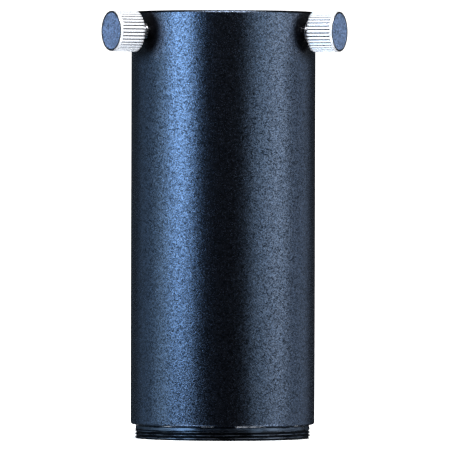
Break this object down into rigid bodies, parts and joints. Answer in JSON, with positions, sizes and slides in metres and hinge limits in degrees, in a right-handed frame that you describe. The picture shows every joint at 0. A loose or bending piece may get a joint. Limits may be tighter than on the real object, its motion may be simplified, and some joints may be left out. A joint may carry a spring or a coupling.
{
  "type": "barlow lens",
  "caption": "Black telescope barlow tube with knurled thumbscrews at the eyepiece socket and a negative lens behind a male camera thread.",
  "frame": {"origin": "on the optical axis, at the lower end face of the male camera thread", "axes": "+Z along the optical axis, from the threaded lens end towards the eyepiece end; -Y lies midway between the two thumbscrews"},
  "size_m": [0.0587, 0.044, 0.1018],
  "materials": {
    "black_anodised": "fine bead-blasted black anodised, satin with a blue sheen",
    "socket_black": "turned and black anodised",
    "thread_black": "machined and black anodised",
    "matt_black": "matt black anodised",
    "ring_brass": "turned",
    "lens_glass": "polished, anti-reflection coated",
    "spacer_metal": "foil",
    "knurl_silver": "bright, straight knurled",
    "disc_blue_grey": "fine blasted, blue-grey anodised",
    "stem_steel": "rolled thread",
    "pad_nylon": "moulded"
  },
  "bodies": {
    "main_body": {"main_tube": "black_anodised", "eyepiece_socket": "socket_black", "compression_ring": "ring_brass", "end_ring": "thread_black", "lens_cell": "matt_black", "lens_retainer": "matt_black", "crown_element": "lens_glass", "flint_element": "lens_glass", "lens_spacer": "spacer_metal", "light_sleeve_lower": "matt_black", "light_sleeve_middle": "matt_black", "light_sleeve_upper": "matt_black", "baffle_lower": "matt_black", "baffle_upper": "matt_black"},
    "left_pad_body": {"left_pad": "pad_nylon"},
    "left_screw": {"left_knob": "knurl_silver", "left_knob_disc": "disc_blue_grey", "left_stem": "stem_steel"},
    "right_pad_body": {"right_pad": "pad_nylon"},
    "right_screw": {"right_knob": "knurl_silver", "right_knob_disc": "disc_blue_grey", "right_stem": "stem_steel"}
  },
  "joints": [
    {"name": "left_screw_travel", "type": "slide", "parent": "main_body", "child": "left_pad_body", "axis": [-0.891, -0.454, 0], "range_m": [-0.00064, 0.0019]},
    {"name": "left_screw_turn", "type": "hinge", "parent": "left_pad_body", "child": "left_screw", "pos_m": [-0.0196, -0.00999, 0.0969], "axis": [-0.891, -0.454, 0], "range_deg": [-331, 979]},
    {"name": "right_screw_travel", "type": "slide", "parent": "main_body", "child": "right_pad_body", "axis": [0.891, -0.454, 0], "range_m": [-0.00009, 0.0021]},
    {"name": "right_screw_turn", "type": "hinge", "parent": "right_pad_body", "child": "right_screw", "pos_m": [0.0196, -0.00999, 0.0969], "axis": [0.891, -0.454, 0], "range_deg": [-48, 1082]}
  ],
  "couplings": [
    {"joint": "left_screw_turn", "follows": "left_screw_travel", "rad_per_m": 8976},
    {"joint": "right_screw_turn", "follows": "right_screw_travel", "rad_per_m": 8976}
  ]
}
